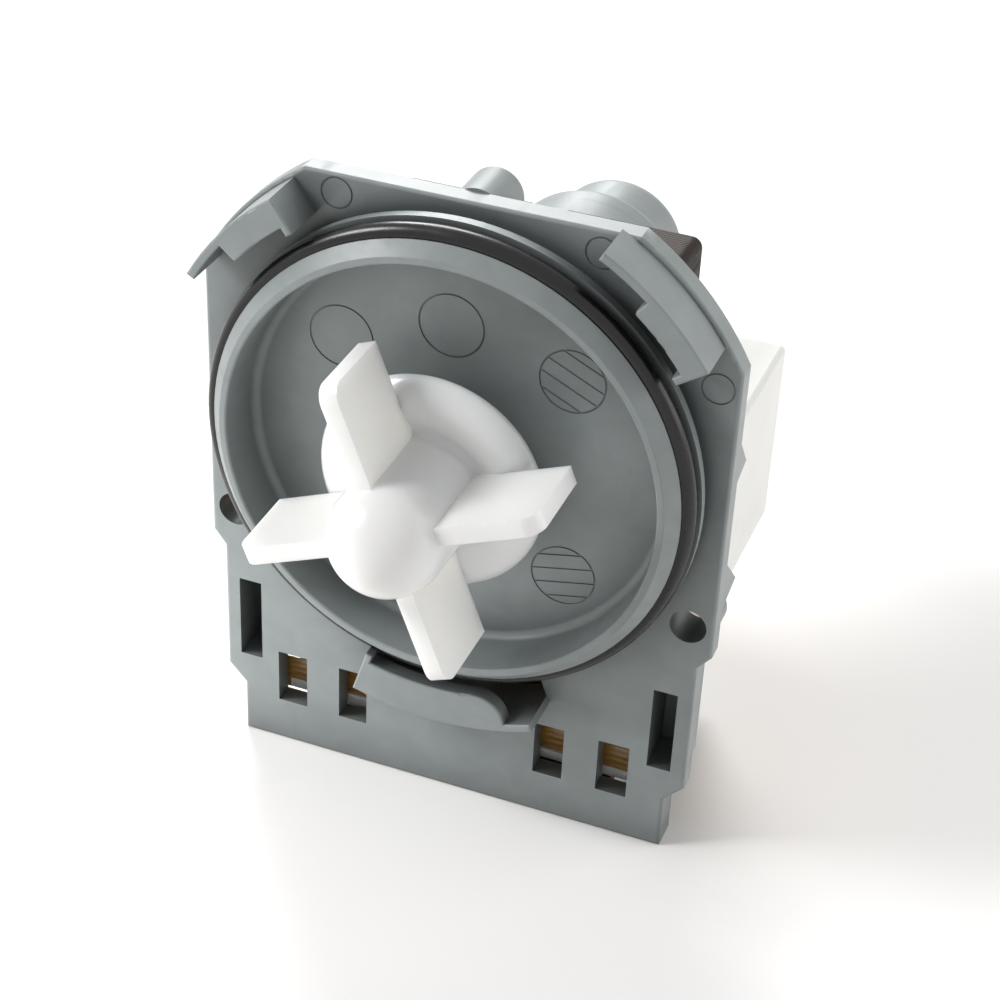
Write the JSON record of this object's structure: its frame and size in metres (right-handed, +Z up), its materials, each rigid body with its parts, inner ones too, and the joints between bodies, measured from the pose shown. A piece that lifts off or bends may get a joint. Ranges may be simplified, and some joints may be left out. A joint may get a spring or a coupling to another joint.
{
  "type": "washer drain pump",
  "caption": "Electric drain pump for a washing machine: moulded mounting plate with bayonet spigot, white bladed impeller, and a laminated motor with coils behind.",
  "frame": {"origin": "on the pump axis, in the front face of the mounting plate", "axes": "+Y along the pump axis from the impeller towards the motor, +Z up, +X to the right when the impeller is seen from the front"},
  "size_m": [0.0724, 0.0962, 0.0926],
  "materials": {
    "grey_plastic": "fine moulded grain, matt",
    "black_rubber": "smooth, slight sheen",
    "impeller_plastic": "white, slightly translucent, satin",
    "white_plastic": "moulded, satin",
    "core_steel": "stacked laminations with a thin dark varnish",
    "rivet_steel": "pressed heads",
    "amber_tape": "glossy film tape, amber",
    "copper_wire": "enamelled copper, wound close",
    "tab_metal": "tinned, stamped",
    "cutout_plastic": "black case",
    "shaft_steel": "ground",
    "bush_material": "dark sintered, matt",
    "ferrite": "dark grey ferrite, matt"
  },
  "bodies": {
    "housing": {"mounting_plate": "grey_plastic", "seal_ring": "black_rubber", "shaft_seal": "black_rubber", "front_bearing": "bush_material", "front_cushion": "black_rubber", "rear_cap": "grey_plastic", "cap_gasket": "black_rubber", "rear_bearing": "bush_material", "rear_cushion": "black_rubber", "stator_core": "core_steel", "core_rivets": "rivet_steel", "left_bobbin": "white_plastic", "right_bobbin": "white_plastic", "left_winding": "copper_wire", "right_winding": "copper_wire", "left_tape": "amber_tape", "right_tape": "amber_tape", "terminal_housing": "white_plastic", "terminal_tabs": "tab_metal", "winding_leads": "copper_wire", "thermal_cutout": "cutout_plastic"},
    "rotor": {"rotor_shaft": "shaft_steel", "rotor_magnet": "ferrite", "magnet_sleeve": "white_plastic", "front_washer": "white_plastic", "rear_washer": "white_plastic", "drive_dog": "white_plastic"},
    "impeller": {"impeller": "impeller_plastic", "impeller_cap": "impeller_plastic"}
  },
  "joints": [
    {"name": "rotor_spin", "type": "hinge", "parent": "housing", "child": "rotor", "pos_m": [0, 0, 0], "axis": [0, 1, 0], "continuous": true},
    {"name": "impeller_play", "type": "hinge", "parent": "rotor", "child": "impeller", "pos_m": [0, 0, 0], "axis": [0, 1, 0], "range_deg": [-82, 82]}
  ]
}
